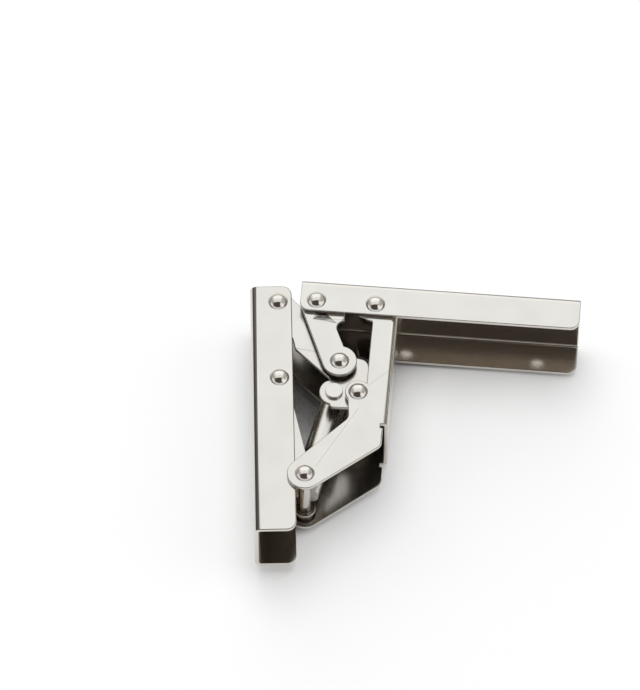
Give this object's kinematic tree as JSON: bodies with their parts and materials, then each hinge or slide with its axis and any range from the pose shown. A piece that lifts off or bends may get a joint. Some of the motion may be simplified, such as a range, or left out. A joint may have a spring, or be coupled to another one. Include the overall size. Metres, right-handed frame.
{
  "type": "concealed lid hinge",
  "caption": "Folded-steel concealed lid hinge: two channel arms joined by riveted links and a spring strut that holds the lid shut and, past its dead point, open.",
  "frame": {"origin": "centre of the box arm's two-screw pattern, on its mounting face, in the hinge's middle plane", "axes": "+X from the box wall into the box, +Y towards the lid, +Z along the pivot pins"},
  "size_m": [0.1187, 0.1032, 0.035],
  "materials": {
    "nickel_sheet": "satin nickel plate on folded and blanked steel",
    "bright_nickel": "bright nickel plate on rivets, pins and the drawn sleeve",
    "turned_steel": "turned, plated",
    "spring_steel": "drawn wire"
  },
  "bodies": {
    "box_arm": {"box_arm": "nickel_sheet", "swing_rivet_upper": "bright_nickel", "swing_rivet_lower": "bright_nickel", "guide_rivet_upper": "bright_nickel", "guide_rivet_lower": "bright_nickel"},
    "swing_link": {"swing_link_upper": "nickel_sheet", "swing_link_lower": "nickel_sheet", "spring_pin": "bright_nickel"},
    "knee_link": {"knee_link": "nickel_sheet", "elbow_rivet_upper": "bright_nickel", "elbow_rivet_lower": "bright_nickel", "elbow_spacer_upper": "turned_steel", "elbow_spacer_lower": "turned_steel", "foot_pin": "bright_nickel", "foot_spacer_upper": "turned_steel", "foot_spacer_lower": "turned_steel"},
    "lid_arm": {"lid_arm": "nickel_sheet", "near_rivet_upper": "bright_nickel", "near_rivet_lower": "bright_nickel", "far_rivet_upper": "bright_nickel", "far_rivet_lower": "bright_nickel"},
    "tie_link": {"tie_link_upper": "nickel_sheet", "tie_link_lower": "nickel_sheet", "near_stud_upper": "bright_nickel", "near_stud_lower": "bright_nickel", "middle_rivet_upper": "bright_nickel", "middle_rivet_lower": "bright_nickel", "middle_spacer_upper": "turned_steel", "middle_spacer_lower": "turned_steel"},
    "guide_link": {"guide_link_upper": "nickel_sheet", "guide_link_lower": "nickel_sheet", "guide_stud_upper": "bright_nickel", "guide_stud_lower": "bright_nickel"},
    "sleeve": {"spring_sleeve": "bright_nickel", "strut_spring": "spring_steel"},
    "plunger": {"spring_plunger": "turned_steel"}
  },
  "joints": [
    {"name": "swing", "type": "hinge", "parent": "box_arm", "child": "swing_link", "pos_m": [0.0099, 0.0554, 0], "axis": [0, 0, 1], "range_deg": [0, 118.37], "deforming": ["strut_spring"]},
    {"name": "elbow", "type": "hinge", "parent": "swing_link", "child": "knee_link", "pos_m": [0.0377, 0.0155, 0], "axis": [0, 0, 1], "range_deg": [-90.21, 0]},
    {"name": "far", "type": "hinge", "parent": "knee_link", "child": "lid_arm", "pos_m": [0.04478, 0.05148, 0], "axis": [0, 0, 1], "range_deg": [0, 61.84]},
    {"name": "middle", "type": "hinge", "parent": "swing_link", "child": "tie_link", "pos_m": [0.0314, 0.0287, 0], "axis": [0, 0, 1], "range_deg": [-125.95, 0]},
    {"name": "foot_guide", "type": "hinge", "parent": "knee_link", "child": "guide_link", "pos_m": [0.0181, -0.0182, 0], "axis": [0, 0, 1], "range_deg": [0, 111.42]},
    {"name": "spring_eye", "type": "hinge", "parent": "swing_link", "child": "sleeve", "pos_m": [0.0292, 0.0175, 0], "axis": [0, 0, 1], "range_deg": [-107.92, 0]},
    {"name": "foot_saddle", "type": "hinge", "parent": "knee_link", "child": "plunger", "pos_m": [0.0181, -0.0182, 0], "axis": [0, 0, 1], "range_deg": [-17.73, 0]}
  ],
  "couplings": [
    {"joint": "elbow", "follows": "swing", "ratio": -0.76193},
    {"joint": "far", "follows": "swing", "ratio": 0.52227},
    {"joint": "middle", "follows": "swing", "ratio": -1.0639},
    {"joint": "foot_guide", "follows": "swing", "ratio": 0.94111},
    {"joint": "spring_eye", "follows": "swing", "ratio": -0.91154},
    {"joint": "foot_saddle", "follows": "swing", "ratio": -0.14961}
  ]
}
